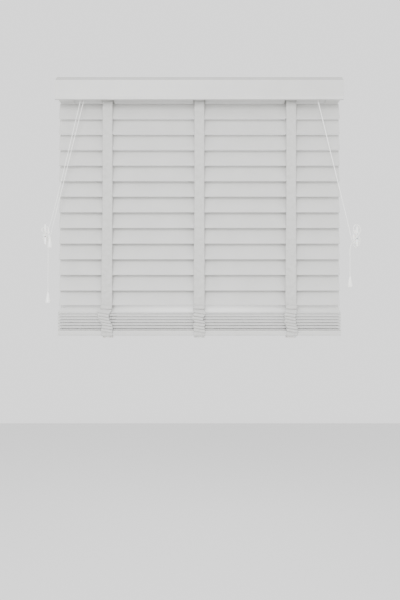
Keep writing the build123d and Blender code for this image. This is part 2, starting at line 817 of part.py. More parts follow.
def make_tassel(name, place):
    """A bell of turned wood that hangs from the cord's end, with a recess for the knot."""
    x, y, top = place
    base = top - tassel_height
    with BuildPart() as tassel:
        with BuildSketch(Plane.XZ.offset(-y)):
            with BuildLine():
                Line((x, base + tassel_recess_depth), (x, top))
                Line((x, top), (x + tassel_top_diameter / 2 - 0.8, top))
                Spline(
                    (x + tassel_top_diameter / 2 - 0.8, top),
                    (x + tassel_top_diameter / 2, top - tassel_neck_height / 3),
                    (x + tassel_top_diameter / 2 + 0.8, top - tassel_neck_height),
                    (x + tassel_base_diameter / 2 - 1.4, base + 0.4 * tassel_height),
                    (x + tassel_base_diameter / 2, base + 3),
                    (x + tassel_base_diameter / 2 - 0.6, base),
                )
                Line((x + tassel_base_diameter / 2 - 0.6, base), (x + tassel_recess_diameter / 2, base))
                Line((x + tassel_recess_diameter / 2, base), (x, base + tassel_recess_depth))
            make_face()
        revolve(axis=Axis((x, y, 0), (0, 0, 1)))
    keep(tassel, name)


def make_cleat(name, cleat):
    x, z = cleat
    post_half = cleat_post_height / 2
    bar = [
        (-wall_face - cleat_post_front, z - post_half),
        (-wall_face - cleat_post_front - cleat_tip_lift, z - cleat_horn_reach),
        (-wall_face - cleat_post_front - cleat_tip_lift - cleat_tip_thickness, z - cleat_horn_reach),
        (-wall_face - cleat_bar_front, z - post_half),
        (-wall_face - cleat_bar_front, z + post_half),
        (-wall_face - cleat_post_front - cleat_tip_lift - cleat_tip_thickness, z + cleat_horn_reach),
        (-wall_face - cleat_post_front - cleat_tip_lift, z + cleat_horn_reach),
        (-wall_face - cleat_post_front, z + post_half),
    ]
    with BuildPart() as piece:
        with BuildSketch(Plane.YZ.offset(x - cleat_bar_width / 2)):
            with BuildLine():
                Polyline(*bar, close=True)
            make_face()
        extrude(amount=cleat_bar_width)
        tips = piece.faces().sort_by(Axis.Z)[0].edges() + piece.faces().sort_by(Axis.Z)[-1].edges()
        fillet(tips, cleat_tip_thickness / 3)
        with BuildSketch(Plane.XZ.offset(wall_face)):
            with Locations((x, z)):
                RectangleRounded(cleat_post_width, cleat_post_height, cleat_post_width / 3)
        extrude(amount=cleat_post_front)
        with BuildSketch(Plane.XZ.offset(wall_face)):
            with Locations((x, z)):
                RectangleRounded(cleat_base_width, cleat_base_height, cleat_base_width / 3)
        extrude(amount=cleat_base_thickness)
        for rise in (-cleat_hole_spacing / 2, cleat_hole_spacing / 2):
            with BuildSketch(Plane.XZ.offset(wall_face)):
                with Locations((x, z + rise)):
                    Circle(cleat_hole_diameter / 2)
            extrude(amount=cleat_bar_front, mode=Mode.SUBTRACT)
    keep(piece, name)


make_slats()
make_bottom_rail()
make_buttons()
front_end, rear_end = make_tapes()
make_folds(front_end, rear_end)
make_head_rail()
make_brackets()
make_valance()
make_clips()
make_rod()
make_drums()
make_cradles()
make_tilter()
make_lock()
make_lift_cords()
make_cleat("cleat_left", cleat_left)
make_cleat("cleat_right", cleat_right)
end_a = make_free_cord("tilt_cord_a", tilt_a_start, cleat_left, 1, tilt_a_wrap, tilt_cord_diameter)
end_b = make_free_cord("tilt_cord_b", tilt_b_start, cleat_left, 1, tilt_b_wrap, tilt_cord_diameter)
end_pull = make_free_cord("pull_cord", pull_start, cleat_right, -1, pull_wrap, pull_cord_diameter)
make_tassel("tassel_tilt_a", end_a)
make_tassel("tassel_tilt_b", end_b)
make_tassel("tassel_lift", end_pull)
print("tape plane", round(tape_plane, 3), "ladder arm", round(ladder_arm, 3))
print("hanging", last_hanging, "resting", round(resting_z, 3), "pile top", pile_top)
print("bottom rail", bottom_rail_top, bottom_rail_bottom)
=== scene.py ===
import json
import math

import bmesh
import bpy
from mathutils import Matrix, Vector, noise


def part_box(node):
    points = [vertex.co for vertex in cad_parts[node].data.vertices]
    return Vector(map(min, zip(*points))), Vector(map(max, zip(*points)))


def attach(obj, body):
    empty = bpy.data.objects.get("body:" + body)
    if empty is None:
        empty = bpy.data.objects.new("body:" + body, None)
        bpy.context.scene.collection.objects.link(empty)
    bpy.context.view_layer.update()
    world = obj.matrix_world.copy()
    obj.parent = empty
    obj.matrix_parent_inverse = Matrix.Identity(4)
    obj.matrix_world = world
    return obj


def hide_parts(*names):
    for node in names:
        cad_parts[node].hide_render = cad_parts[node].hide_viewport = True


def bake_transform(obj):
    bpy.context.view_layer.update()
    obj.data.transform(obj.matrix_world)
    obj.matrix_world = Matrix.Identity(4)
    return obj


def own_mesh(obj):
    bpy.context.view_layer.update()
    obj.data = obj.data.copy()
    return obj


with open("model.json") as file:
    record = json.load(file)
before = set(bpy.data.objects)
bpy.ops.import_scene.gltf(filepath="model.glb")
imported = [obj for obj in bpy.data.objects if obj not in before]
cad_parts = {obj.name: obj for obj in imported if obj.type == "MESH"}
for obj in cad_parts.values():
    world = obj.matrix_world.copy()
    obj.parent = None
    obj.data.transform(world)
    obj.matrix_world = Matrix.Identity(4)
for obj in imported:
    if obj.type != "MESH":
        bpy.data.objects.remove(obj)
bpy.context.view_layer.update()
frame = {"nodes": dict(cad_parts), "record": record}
mm = 0.001


def boxCentre(node):
    low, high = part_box(node)
    return (low + high) / 2


def hexColour(text):
    # sRGB hex to the linear colour that a socket takes
    channels = []
    for start in (0, 2, 4):
        level = int(text[start:start + 2], 16) / 255
        channels.append(level / 12.92 if level <= 0.04045 else ((level + 0.055) / 1.055) ** 2.4)
    return (*channels, 1.0)


def addNode(tree, kind, settings, links):
    # settings go to a socket of that name, or else to the node itself, and stops to its colour ramp;
    # links are socket name: source socket
    node = tree.nodes.new(kind)
    for name, value in settings.items():
        if name == "stops":
            for place, colour in value[2:]:
                node.color_ramp.elements.new(place)
            for stop, (place, colour) in zip(node.color_ramp.elements, value):
                stop.position = place
                stop.color = hexColour(colour)
        elif name in node.inputs:
            node.inputs[name].default_value = value
        else:
            setattr(node, name, value)
    for name, source in links.items():
        tree.links.new(source, node.inputs[name])
    return node


def newMaterial(name):
    material = bpy.data.materials.new(name)
    material.use_nodes = True
    tree = material.node_tree
    tree.nodes.clear()
    return material, tree


def finishShader(tree, shader):
    addNode(tree, "ShaderNodeOutputMaterial", {}, {"Surface": shader.outputs["BSDF"]})


def brushedPaint(tree, place, dark, light, grainDepth):
    # satin paint on basswood: an even white, in which the long fine grain just telegraphs through;
    # the grain streaks are 125 mm long and up to 2.5 mm wide, coarser than basswood pores so that they show
    grainMap = addNode(tree, "ShaderNodeMapping", {"Scale": (8, 400, 400)},
                       {"Vector": place.outputs["Object"]})
    grain = addNode(tree, "ShaderNodeTexNoise", {"Scale": 1.0, "Detail": 4.0, "Roughness": 0.6},
                    {"Vector": grainMap.outputs["Vector"]})
    # brushed-out paint clouds 60 mm across
    cloud = addNode(tree, "ShaderNodeTexNoise", {"Scale": 16.0, "Detail": 2.0},
                    {"Vector": place.outputs["Object"]})
    tone = addNode(tree, "ShaderNodeValToRGB", {"stops": [(0.3, dark), (0.7, light)]},
                   {"Fac": cloud.outputs["Fac"]})
    bump = addNode(tree, "ShaderNodeBump", {"Strength": 0.35, "Distance": grainDepth},
                   {"Height": grain.outputs["Fac"]})
    return tone, bump


def paintedBasswood():
    material, tree = newMaterial("paintedBasswood")
    place = addNode(tree, "ShaderNodeTexCoord", {}, {})
    tone, bump = brushedPaint(tree, place, "c3c3c1", "c8c8c6", 0.12 * mm)
    shader = addNode(tree, "ShaderNodeBsdfPrincipled", {"Roughness": 0.48, "IOR": 1.5},
                     {"Base Color": tone.outputs["Color"], "Normal": bump.outputs["Normal"]})
    finishShader(tree, shader)
    return material


def paintedValanceBoard():
    # the same paint on a planed board, with painted shade on the slope of the moulding, darkest at its top
    # edge, and a painted highlight that keeps the bevel lighter than the face
    material, tree = newMaterial("paintedValanceBoard")
    low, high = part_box("valance")
    place = addNode(tree, "ShaderNodeTexCoord", {}, {})
    paint, bump = brushedPaint(tree, place, "cfcfcd", "d4d4d2", 0.08 * mm)
    axes = addNode(tree, "ShaderNodeSeparateXYZ", {}, {"Vector": place.outputs["Object"]})
    # 0 at the foot of the board and 1 at its top; the bevel ends near 0.11 and the moulding starts near 0.845
    rise = addNode(tree, "ShaderNodeMapRange", {"From Min": low.z, "From Max": high.z},
                   {"Value": axes.outputs["Z"]})
    # painted shade and highlight by height: the bevel lightest, the face a little darker, the moulding's slope
    # darker and its top edge darkest
    paintedShadeAndHighlight = addNode(tree, "ShaderNodeValToRGB",
                   {"stops": [(0.0, "ffffff"), (0.1, "ffffff"), (0.13, "f3f3f3"), (0.835, "f3f3f3"),
                              (0.855, "dbdbdb"), (0.96, "d8d8d8"), (1.0, "c0c0c0")]},
                   {"Fac": rise.outputs["Result"]})
    tone = addNode(tree, "ShaderNodeVectorMath", {"operation": "MULTIPLY"}, {})
    tree.links.new(paint.outputs["Color"], tone.inputs[0])
    tree.links.new(paintedShadeAndHighlight.outputs["Color"], tone.inputs[1])
    shader = addNode(tree, "ShaderNodeBsdfPrincipled", {"Roughness": 0.42, "IOR": 1.5},
                     {"Base Color": tone.outputs["Vector"], "Normal": bump.outputs["Normal"]})
    finishShader(tree, shader)
    return material


def bakedEnamelSteel():
    # roll-formed steel strip, coil-coated white: smooth, a little glossy, with a faint orange peel
    material, tree = newMaterial("bakedEnamelSteel")
    place = addNode(tree, "ShaderNodeTexCoord", {}, {})
    peel = addNode(tree, "ShaderNodeTexNoise", {"Scale": 700.0, "Detail": 1.0},
                   {"Vector": place.outputs["Object"]})
    wear = addNode(tree, "ShaderNodeTexNoise", {"Scale": 25.0, "Detail": 3.0},
                   {"Vector": place.outputs["Object"]})
    tone = addNode(tree, "ShaderNodeValToRGB", {"stops": [(0.3, "c0c0bd"), (0.7, "c9c9c7")]},
                   {"Fac": wear.outputs["Fac"]})
    bump = addNode(tree, "ShaderNodeBump", {"Strength": 0.2, "Distance": 0.03 * mm},
                   {"Height": peel.outputs["Fac"]})
    shader = addNode(tree, "ShaderNodeBsdfPrincipled", {"Roughness": 0.32, "IOR": 1.5},
                     {"Base Color": tone.outputs["Color"], "Normal": bump.outputs["Normal"]})
    finishShader(tree, shader)
    return material


def powderCoatSteel():
    # pressed steel, powder coated: matter than the rail, with a grainy skin
    material, tree = newMaterial("powderCoatSteel")
    place = addNode(tree, "ShaderNodeTexCoord", {}, {})
    skin = addNode(tree, "ShaderNodeTexNoise", {"Scale": 1100.0, "Detail": 2.0},
                   {"Vector": place.outputs["Object"]})
    tone = addNode(tree, "ShaderNodeValToRGB", {"stops": [(0.35, "cacac7"), (0.65, "d2d2cf")]},
                   {"Fac": skin.outputs["Fac"]})
    bump = addNode(tree, "ShaderNodeBump", {"Strength": 0.5, "Distance": 0.06 * mm},
                   {"Height": skin.outputs["Fac"]})
    shader = addNode(tree, "ShaderNodeBsdfPrincipled", {"Roughness": 0.5, "IOR": 1.5},
                     {"Base Color": tone.outputs["Color"], "Normal": bump.outputs["Normal"]})
    finishShader(tree, shader)
    return material


def mouldedPlastic(name, light, dark, roughness, ior):
    # injection moulding: even colour, slight flow marks, fine spark-eroded texture
    material, tree = newMaterial(name)
    place = addNode(tree, "ShaderNodeTexCoord", {}, {})
    flow = addNode(tree, "ShaderNodeTexNoise", {"Scale": 60.0, "Detail": 2.0},
                   {"Vector": place.outputs["Object"]})
    texture = addNode(tree, "ShaderNodeTexNoise", {"Scale": 1500.0, "Detail": 1.0},
                      {"Vector": place.outputs["Object"]})
    tone = addNode(tree, "ShaderNodeValToRGB", {"stops": [(0.3, dark), (0.7, light)]},
                   {"Fac": flow.outputs["Fac"]})
    bump = addNode(tree, "ShaderNodeBump", {"Strength": 0.25, "Distance": 0.04 * mm},
                   {"Height": texture.outputs["Fac"]})
    shader = addNode(tree, "ShaderNodeBsdfPrincipled",
                     {"Roughness": roughness, "IOR": ior, "Subsurface Weight": 0.05,
                      "Subsurface Scale": 2 * mm},
                     {"Base Color": tone.outputs["Color"], "Normal": bump.outputs["Normal"]})
    finishShader(tree, shader)
    return material


def zincPlatedSteel():
    # drawn steel, bright zinc: bluish grey with draw lines along it
    material, tree = newMaterial("zincPlatedSteel")
    place = addNode(tree, "ShaderNodeTexCoord", {}, {})
    drawn = addNode(tree, "ShaderNodeMapping", {"Scale": (12, 900, 900)}, {"Vector": place.outputs["Object"]})
    lines = addNode(tree, "ShaderNodeTexNoise", {"Scale": 1.0, "Detail": 3.0},
                    {"Vector": drawn.outputs["Vector"]})
    tone = addNode(tree, "ShaderNodeValToRGB", {"stops": [(0.3, "a9adb0"), (0.7, "c4c7c9")]},
                   {"Fac": lines.outputs["Fac"]})
    bump = addNode(tree, "ShaderNodeBump", {"Strength": 0.3, "Distance": 0.03 * mm},
                   {"Height": lines.outputs["Fac"]})
    shader = addNode(tree, "ShaderNodeBsdfPrincipled", {"Roughness": 0.34, "Metallic": 1.0},
                     {"Base Color": tone.outputs["Color"], "Normal": bump.outputs["Normal"]})
    finishShader(tree, shader)
    return material


def wovenCottonTape():
    # plain-woven cotton tape: warp ribs along it crossed by the weft, soft and fuzzy at grazing angles
    material, tree = newMaterial("wovenCottonTape")
    place = addNode(tree, "ShaderNodeTexCoord", {}, {})
    # the UV map is in metres; real ribs are 0.7 mm apart, and these four times that, so that the weave shows
    ribPitch = 2.8 * mm
    # the wave texture draws one band for each turn of 20 times its coordinate
    bandScale = 2 * math.pi / (20 * ribPitch)
    warpMap = addNode(tree, "ShaderNodeMapping", {"Scale": (bandScale, 0, 0)},
                      {"Vector": place.outputs["UV"]})
    weftMap = addNode(tree, "ShaderNodeMapping", {"Scale": (0, bandScale, 0)},
                      {"Vector": place.outputs["UV"]})
    warp = addNode(tree, "ShaderNodeTexWave", {"bands_direction": "X", "Scale": 1.0},
                   {"Vector": warpMap.outputs["Vector"]})
    weft = addNode(tree, "ShaderNodeTexWave", {"bands_direction": "Y", "Scale": 1.0},
                   {"Vector": weftMap.outputs["Vector"]})
    weave = addNode(tree, "ShaderNodeMath", {"operation": "MULTIPLY"}, {})
    tree.links.new(warp.outputs["Fac"], weave.inputs[0])
    tree.links.new(weft.outputs["Fac"], weave.inputs[1])
    slub = addNode(tree, "ShaderNodeTexNoise", {"Scale": 90.0, "Detail": 3.0},
                   {"Vector": place.outputs["UV"]})
    tone = addNode(tree, "ShaderNodeValToRGB", {"stops": [(0.25, "b9b9b6"), (0.75, "c5c5c3")]},
                   {"Fac": slub.outputs["Fac"]})
    bump = addNode(tree, "ShaderNodeBump", {"Strength": 0.6, "Distance": 0.15 * mm},
                   {"Height": weave.outputs[0]})
    shader = addNode(tree, "ShaderNodeBsdfPrincipled",
                     {"Roughness": 0.88, "Sheen Weight": 0.25, "Sheen Roughness": 0.5, "IOR": 1.45},
                     {"Base Color": tone.outputs["Color"], "Normal": bump.outputs["Normal"]})
    finishShader(tree, shader)
    return material


def braidedPolyesterCord():
    # braided polyester: white with a silky gloss and the small chevrons of its carriers
    material, tree = newMaterial("braidedPolyesterCord")
    place = addNode(tree, "ShaderNodeTexCoord", {}, {})
    # carriers cross every 1.2 mm
    braid = addNode(tree, "ShaderNodeTexVoronoi", {"Scale": 850.0}, {"Vector": place.outputs["Object"]})
    tone = addNode(tree, "ShaderNodeValToRGB", {"stops": [(0.0, "fbfbf9"), (1.0, "efefec")]},
                   {"Fac": braid.outputs["Distance"]})
    bump = addNode(tree, "ShaderNodeBump", {"Strength": 0.5, "Distance": 0.15 * mm, "invert": True},
                   {"Height": braid.outputs["Distance"]})
    shader = addNode(tree, "ShaderNodeBsdfPrincipled",
                     {"Roughness": 0.5, "Sheen Weight": 0.2, "Sheen Roughness": 0.4, "IOR": 1.5},
                     {"Base Color": tone.outputs["Color"], "Normal": bump.outputs["Normal"]})
    finishShader(tree, shader)
    return material


def turnedWoodEnamel():
    # turned wood under gloss enamel: bright white, wet-looking, with faint turning rings
    material, tree = newMaterial("turnedWoodEnamel")
    place = addNode(tree, "ShaderNodeTexCoord", {}, {})
    # tool rings about 3 mm apart up the tassel
    ringMap = addNode(tree, "ShaderNodeMapping", {"Scale": (0, 0, 350)}, {"Vector": place.outputs["Object"]})
    rings = addNode(tree, "ShaderNodeTexNoise", {"Scale": 1.0, "Detail": 1.0},
                    {"Vector": ringMap.outputs["Vector"]})
    tone = addNode(tree, "ShaderNodeValToRGB", {"stops": [(0.3, "f7f7f5"), (0.7, "fcfcfa")]},
                   {"Fac": rings.outputs["Fac"]})
    bump = addNode(tree, "ShaderNodeBump", {"Strength": 0.25, "Distance": 0.08 * mm},
                   {"Height": rings.outputs["Fac"]})
    shader = addNode(tree, "ShaderNodeBsdfPrincipled",
                     {"Roughness": 0.3, "IOR": 1.5, "Coat Weight": 0.5, "Coat Roughness": 0.12},
                     {"Base Color": tone.outputs["Color"], "Normal": bump.outputs["Normal"]})
    finishShader(tree, shader)
    return material


finish = {
    "slats": paintedBasswood(),
    "valance": paintedValanceBoard(),
    "tape": wovenCottonTape(),
    "buttons": mouldedPlastic("mouldedNylonButton", "e2e2df", "dbdbd8", 0.45, 1.53),
    "head_rail": bakedEnamelSteel(),
    "brackets": powderCoatSteel(),
    "nylon": mouldedPlastic("mouldedNylon", "e4e3dc", "dcdbd4", 0.42, 1.53),
    "steel": zincPlatedSteel(),
    "gear_nylon": mouldedPlastic("mouldedAcetal", "ebe7d8", "e2deca", 0.3, 1.48),
    "cord": braidedPolyesterCord(),
    "tassels": turnedWoodEnamel(),
    "cleats": mouldedPlastic("glossyAbs", "fafaf8", "f5f5f3", 0.22, 1.54),
}
for part in frame["record"]["subparts"]:
    for materialSlot in frame["nodes"][part["node"]].material_slots:
        materialSlot.material = finish[part["material_slot"]]
print("materials made")

view = {"place": (0.0017, -1.912, -0.614), "lens": 40.6, "sensor": 36.0}
camera = bpy.data.cameras.new("camera")
camera.sensor_fit = "VERTICAL"
camera.sensor_height = view["sensor"]
camera.lens = view["lens"]
cameraObject = bpy.data.objects.new("camera", camera)
cameraObject.location = view["place"]
cameraObject.rotation_euler = (math.pi / 2, 0, 0)
bpy.context.scene.collection.objects.link(cameraObject)
bpy.context.scene.camera = cameraObject

lampAim = Vector((0, 0, -0.36))
lamps = {
    "keyPanel": {"place": (-0.5, -3.0, 0.55), "size": 1.4, "power": 92},
    "sidePanel": {"place": (1.8, -2.6, -0.9), "size": 1.2, "power": 12},
    # behind and above, so that some light falls through between the slats
    "backPanel": {"place": (0, 1.1, 0.75), "size": 0.7, "power": 25},
}
for lampName, lamp in lamps.items():
    light = bpy.data.lights.new(lampName, "AREA")
    light.size = lamp["size"]
    light.energy = lamp["power"]
    lightObject = bpy.data.objects.new(lampName, light)
    lightObject.location = lamp["place"]
    lightObject.visible_camera = False
    beam = lampAim - Vector(lamp["place"])
    lightObject.rotation_euler = beam.to_track_quat("-Z", "Y").to_euler()
    bpy.context.scene.collection.objects.link(lightObject)

# a soft white tent, dimmer below than at eye level, so that undersides fall into shade
tentLight = {"stops": [(0.1, "8c8c8c"), (0.42, "e6e6e6")], "strength": 2.05}
world = bpy.data.worlds.new("studio")
world.use_nodes = True
worldTree = world.node_tree
heading = addNode(worldTree, "ShaderNodeTexCoord", {}, {})
height = addNode(worldTree, "ShaderNodeSeparateXYZ", {}, {"Vector": heading.outputs["Generated"]})
level = addNode(worldTree, "ShaderNodeMapRange", {"From Min": -1.0, "From Max": 1.0},
                {"Value": height.outputs["Z"]})
tent = addNode(worldTree, "ShaderNodeValToRGB", {"stops": tentLight["stops"]},
               {"Fac": level.outputs["Result"]})
worldTree.links.new(tent.outputs["Color"], worldTree.nodes["Background"].inputs["Color"])
worldTree.nodes["Background"].inputs["Strength"].default_value = tentLight["strength"]
bpy.context.scene.world = world


def meshObject(name, shell):
    # ends the bmesh; the object isn't in the scene yet
    data = bpy.data.meshes.new(name)
    shell.to_mesh(data)
    shell.free()
    return bpy.data.objects.new(name, data)


floorSize = {"half": 3.5, "drop": -1.6}
floorMesh = bmesh.new()
bmesh.ops.create_grid(floorMesh, x_segments=1, y_segments=1, size=floorSize["half"],
                      matrix=Matrix.Translation((0, 0, floorSize["drop"])))
floor = meshObject("floor", floorMesh)
bpy.context.scene.collection.objects.link(floor)
floorMaterial, floorTree = newMaterial("palePaper")
floorShader = addNode(floorTree, "ShaderNodeBsdfPrincipled",
                      {"Base Color": hexColour("dcdcdc"), "Roughness": 0.9}, {})
finishShader(floorTree, floorShader)
floor.data.materials.append(floorMaterial)
print("camera, light and floor set")


def addPiece(piece, slot):
    bpy.context.scene.collection.objects.link(piece)
    piece.data.materials.append(finish[slot])
    return piece


def bakedMesh(source):
    # the mesh of an object with its curve or modifiers worked out, smooth and without materials
    bpy.context.view_layer.update()
    data = bpy.data.meshes.new_from_object(source.evaluated_get(bpy.context.evaluated_depsgraph_get()))
    data.materials.clear()
    for face in data.polygons:
        face.use_smooth = True
    return data


def nurbsCurve(name, points, diameter):
    # one open spline led by points in metres
    curve = bpy.data.curves.new(name, "CURVE")
    curve.dimensions = "3D"
    curve.resolution_u = 10
    curve.use_fill_caps = True
    spline = curve.splines.new("NURBS")
    spline.points.add(len(points) - 1)
    for point, (x, y, z) in zip(spline.points, points):
        point.co = (x, y, z, 1)
    spline.order_u = 3
    spline.use_endpoint_u = True
    curve.bevel_depth = diameter / 2
    curve.bevel_resolution = 3
    return bpy.data.objects.new(name, curve)


# routes in millimetres: first below the head rail, then round the cleat as
# (towards the blind, off the wall, above the cleat's middle)
cordRoutes = {
    "tilt_cord_a": {
        "start": [(-331, -22.5, -39.3), (-331, -22.5, -54), (-332.5, -27.2, -63)],
        "cleat": "cleat_left", "side": 1, "diameter": 1.8, "length": 0.4581, "tassel": "tassel_tilt_a",
        "wrap": [
            (12, 11.5, 16), (5.5, 10.6, 21.5), (-3, 10.6, 22), (-9.5, 11.5, 17.5), (-11.5, 16.5, 11.5),
            (-8, 23.5, 8), (-1.5, 27.2, 5.6), (5.5, 27, 4), (11, 23.5, 1.5), (13.4, 19.5, -2.5),
            (13.4, 19.5, -8),
        ],
    },
    "tilt_cord_b": {
        "start": [(-322, -22.5, -39.3), (-322, -22.5, -54), (-323.5, -27.2, -63)],
        "cleat": "cleat_left", "side": 1, "diameter": 1.8, "length": 0.6943, "tassel": "tassel_tilt_b",
        "wrap": [
            (14.5, 8, 6), (12, 6.5, -4), (7, 6, -12.5), (-1, 6, -16.5), (-8, 7.5, -12.5), (-10, 13, -5.5),
            (-6, 19.4, 0.5), (2, 21, 5.5), (8, 17.5, 10.5), (8.5, 10, 17), (3, 6.8, 23), (-4.5, 7.2, 22),
            (-9, 11.8, 13.2), (-7.6, 19.5, 8), (-1, 24.2, 3.4), (6, 22.4, -2.5), (9.5, 16, -9),
            (9.6, 12.5, -19), (6.6, 12, -33), (6.6, 12, -160),
        ],
    },
    "pull_cord": {
        "start": [(330.5, -22.5, -52.5), (330.5, -22.5, -57), (332.1, -27.6, -66)],
        "cleat": "cleat_right", "side": -1, "diameter": 2.6, "length": 0.6815, "tassel": "tassel_lift",
        "wrap": [
            (16.5, 8, 8), (14, 6.5, -5), (10, 6, -18), (4, 6, -29), (-3.5, 6.5, -31), (-7.5, 9, -22),
            (-8.8, 14.5, -12), (-6.5, 19.6, -3.5), (0.5, 21.1, 3.5), (7.5, 19.5, 10), (10.5, 13.5, 18.5),
            (8.5, 9, 28), (1.5, 7.6, 34.5), (-6.5, 9, 31.5), (-10, 14, 22.5), (-8.6, 20.4, 13),
            (-3, 25.3, 5), (4.5, 25.6, -3), (11, 20.5, -11), (15, 14.5, -20), (18.6, 12.4, -31),
            (18.8, 12.2, -44), (18.8, 12.2, -110),
        ],
    },
}
for node, route in cordRoutes.items():
    cleatMiddle = boxCentre(route["cleat"])
    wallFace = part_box(route["cleat"])[1].y
    points = [Vector(point) * mm for point in route["start"]]
    for reach, stand, rise in route["wrap"]:
        offset = Vector((route["side"] * reach, -stand, rise)) * mm
        points.append(Vector((cleatMiddle.x, wallFace, cleatMiddle.z)) + offset)
    cordPiece = addPiece(nurbsCurve(node + "_braid", points, route["diameter"] * mm), "cord")
    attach(cordPiece, "root")
    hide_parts(node)
print("cords laid")

# a horn cleat moulded in one piece: rounded base, oval post, and horns that lift off the wall and taper
horn = {
    "baseSize": (18 * mm, 3 * mm, 40 * mm),
    "baseCorner": 7 * mm,
    "baseEdge": 1.2 * mm,
    "post": (9 * mm, 20 * mm),
    # millimetres off the wall, and the share of the post's size there; it ends inside the horns
    "postStations": [(1, 1.25), (4, 1.06), (8, 0.96), (11, 0.96), (15, 0.7)],
    "screwHole": 4 * mm,
    "screwApart": 12 * mm,
    "drillLength": 45 * mm,
    "sides": 24,
    "sharpFrom": 40,            # degrees between two faces
    # millimetres: height above the middle, width, back and front of the horns off the wall
    "stations": [(0, 7.0, 13.0, 18.0), (8, 7.0, 13.0, 18.0), (14, 6.8, 13.5, 18.1), (20, 6.3, 14.3, 18.4),
                 (25, 5.6, 15.1, 18.8), (27.2, 4.6, 15.6, 18.9), (28, 2.6, 16.3, 18.4)],
}


def bridgedRings(rings):
    # each ring is a matrix that places and stretches a circle 1 across; the skin is closed at both ends
    shell = bmesh.new()
    loops = []
    for place in rings:
        made = bmesh.ops.create_circle(shell, cap_ends=False, radius=0.5, segments=horn["sides"],
                                       matrix=place)
        loops.append({edge for vert in made["verts"] for edge in vert.link_edges})
    for below, above in zip(loops, loops[1:]):
        bmesh.ops.bridge_loops(shell, edges=[*below, *above])
    bmesh.ops.holes_fill(shell, edges=[edge for edge in shell.edges if edge.is_boundary])
    bmesh.ops.recalc_face_normals(shell, faces=shell.faces)
    return shell


def cleatBase(wall):
    width, depth, height = horn["baseSize"]
    plate = bmesh.new()
    bmesh.ops.create_cube(plate, size=1.0, matrix=wall @ Matrix.Translation((0, -depth / 2, 0))
                          @ Matrix.Diagonal((width, depth, height, 1)))
    upright = [edge for edge in plate.edges if abs((edge.verts[0].co - edge.verts[1].co).y) > depth / 2]
    bmesh.ops.bevel(plate, geom=upright, offset=horn["baseCorner"], affect="EDGES", segments=8, profile=0.5,
                    material=-1)
    frontFace = min(plate.faces, key=lambda face: face.calc_center_median().y)
    bmesh.ops.bevel(plate, geom=frontFace.edges[:], offset=horn["baseEdge"], affect="EDGES", segments=3,
                    profile=0.5, material=-1)
    return plate


def cleatHorns(wall):
    upper = horn["stations"]
    lower = [(-rise, *rest) for rise, *rest in upper[:0:-1]]
    rings = []
    for rise, width, back, front in [*lower, *upper]:
        rings.append(wall @ Matrix.Translation((0, -(back + front) / 2 * mm, rise * mm))
                     @ Matrix.Diagonal((width * mm, (front - back) * mm, 1, 1)))
    return bridgedRings(rings)


def cleatPost(wall):
    width, height = horn["post"]
    rings = []
    for off, grow in horn["postStations"]:
        rings.append(wall @ Matrix.Translation((0, -off * mm, 0)) @ Matrix.Rotation(math.pi / 2, 4, "X")
                     @ Matrix.Diagonal((width * grow, height * grow, 1, 1)))
    return bridgedRings(rings)


def screwHole(wall, rise):
    hole = bmesh.new()
    radius = horn["screwHole"] / 2
    place = wall @ Matrix.Translation((0, 0, rise)) @ Matrix.Rotation(math.pi / 2, 4, "X")
    bmesh.ops.create_cone(hole, cap_ends=True, segments=horn["sides"], radius1=radius, radius2=radius,
                          depth=horn["drillLength"], matrix=place)
    return hole


for node in ("cleat_left", "cleat_right"):
    middle = boxCentre(node)
    wall = Matrix.Translation((middle.x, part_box(node)[1].y, middle.z))
    body = meshObject("horns", cleatHorns(wall))
    bpy.context.scene.collection.objects.link(body)
    tools = [("UNION", cleatPost(wall)), ("UNION", cleatBase(wall))]
    for rise in (-horn["screwApart"] / 2, horn["screwApart"] / 2):
        tools.append(("DIFFERENCE", screwHole(wall, rise)))
    cutters = []
    for operation, shell in tools:
        cutter = meshObject("tool", shell)
        bpy.context.scene.collection.objects.link(cutter)
        cutters.append(cutter)
        cut = body.modifiers.new(operation, "BOOLEAN")
        cut.operation = operation
        cut.object = cutter
        cut.solver = "EXACT"
    data = bakedMesh(body)
    for spent in (body, *cutters):
        bpy.data.objects.remove(spent)
    data.set_sharp_from_angle(angle=math.radians(horn["sharpFrom"]))
    cleatPiece = addPiece(bpy.data.objects.new(node + "_moulding", data), "cleats")
    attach(cleatPiece, "root")
    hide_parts(node)
print("cleats moulded")

# the lift cords: up through the slats, along the head rail and over the lock's pulley
liftCord = {
    "diameter": 1.4 * mm,
    "endAboveRailFoot": 6 * mm,
    "laneHeight": -44 * mm,
    "lanes": (-6 * mm, -2 * mm, 2 * mm),
    "laneTurn": 12 * mm,        # from the slats' route hole to the lane
    "laneEnd": 283 * mm,        # past the right-hand cradle
    "overPulley": -37 * mm,
    "down": 330.5 * mm,         # where they turn down through the lock
    "throat": -52.5 * mm,       # where the three go on as one cord
    "lockLanes": (-24.1 * mm, -22.5 * mm, -20.9 * mm),
    "foot": -700 * mm,          # a knot low in the bottom rail
    "shoulder": -60 * mm,       # and a knot just under the head rail
}
laneHeight = liftCord["laneHeight"]
overPulley = liftCord["overPulley"]
turn = liftCord["laneTurn"]
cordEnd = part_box("bottom_rail")[0].z + liftCord["endAboveRailFoot"]
tapeMiddles = {side: boxCentre("tape_folds_" + side).x for side in ("left", "middle", "right")}
lanes = zip(tapeMiddles.values(), liftCord["lanes"], liftCord["lockLanes"])
